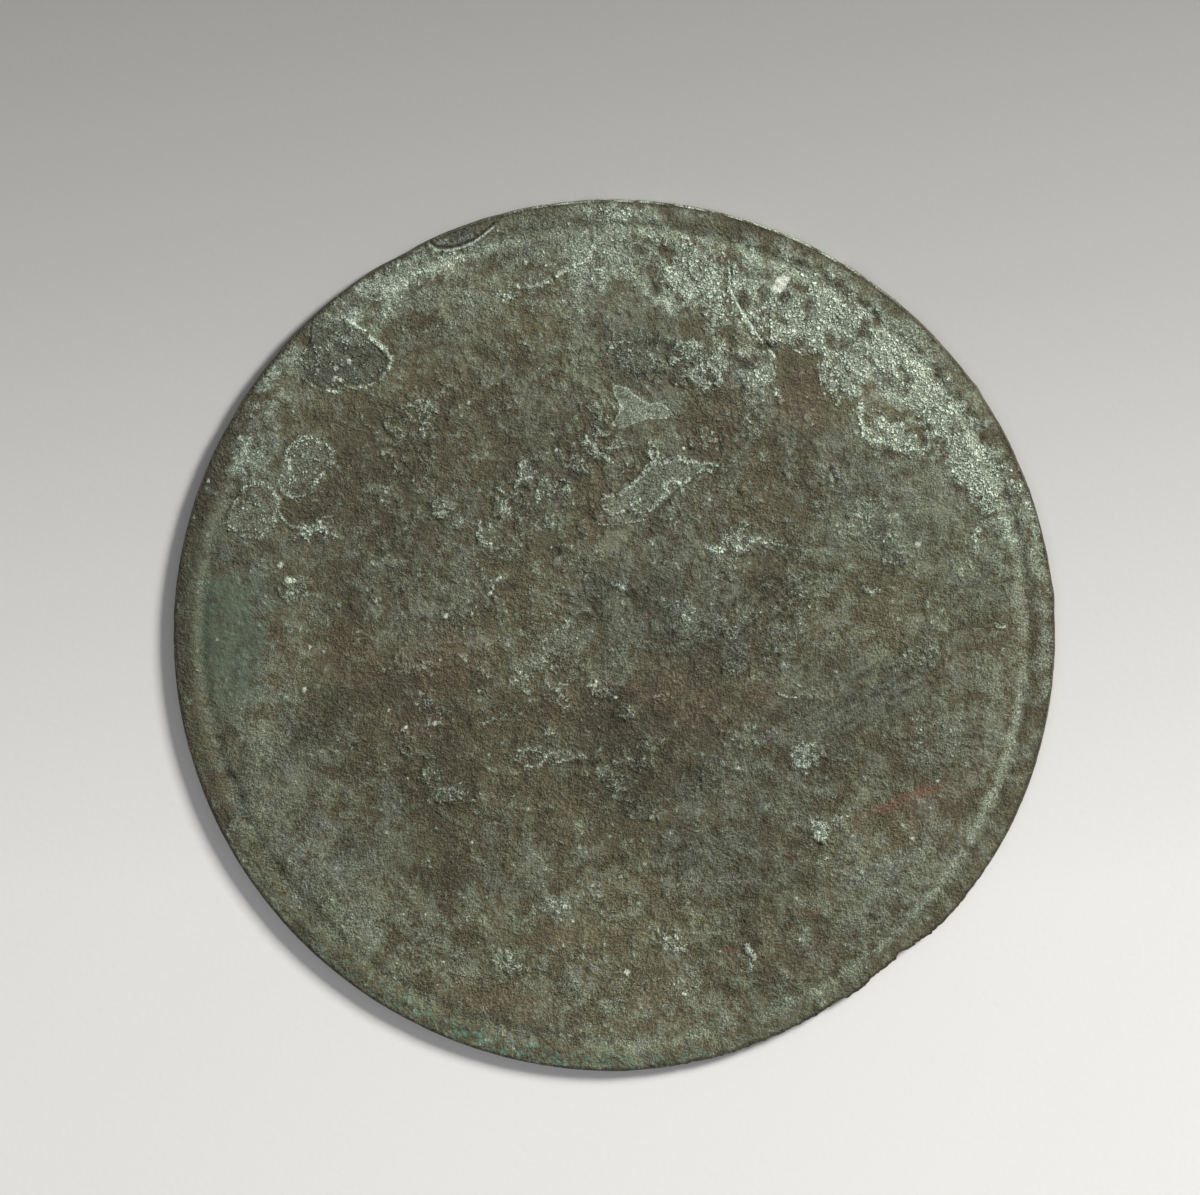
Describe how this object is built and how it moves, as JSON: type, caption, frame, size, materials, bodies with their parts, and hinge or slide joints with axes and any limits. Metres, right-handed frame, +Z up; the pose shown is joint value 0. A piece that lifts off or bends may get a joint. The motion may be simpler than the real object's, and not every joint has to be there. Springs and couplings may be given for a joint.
{
  "type": "disc mirror",
  "caption": "Ancient cast bronze disc mirror, without a handle, with a crowned field, a groove and a low rounded rim, corroded and chipped, lying flat.",
  "frame": {"origin": "middle of the flat underside, which is the bottom of the bounding box", "axes": "+Z up out of the face with the groove and rim; +X and +Y to the picture's right and top, with the broken stretch of rim towards +X and -Y"},
  "size_m": [0.15, 0.15, 0.0026],
  "materials": {
    "patinated_bronze": "corroded and dull, dark olive brown with grey-green and pale green crusts"
  },
  "bodies": {
    "root": {"mirror_disc": "patinated_bronze"}
  },
  "joints": []
}
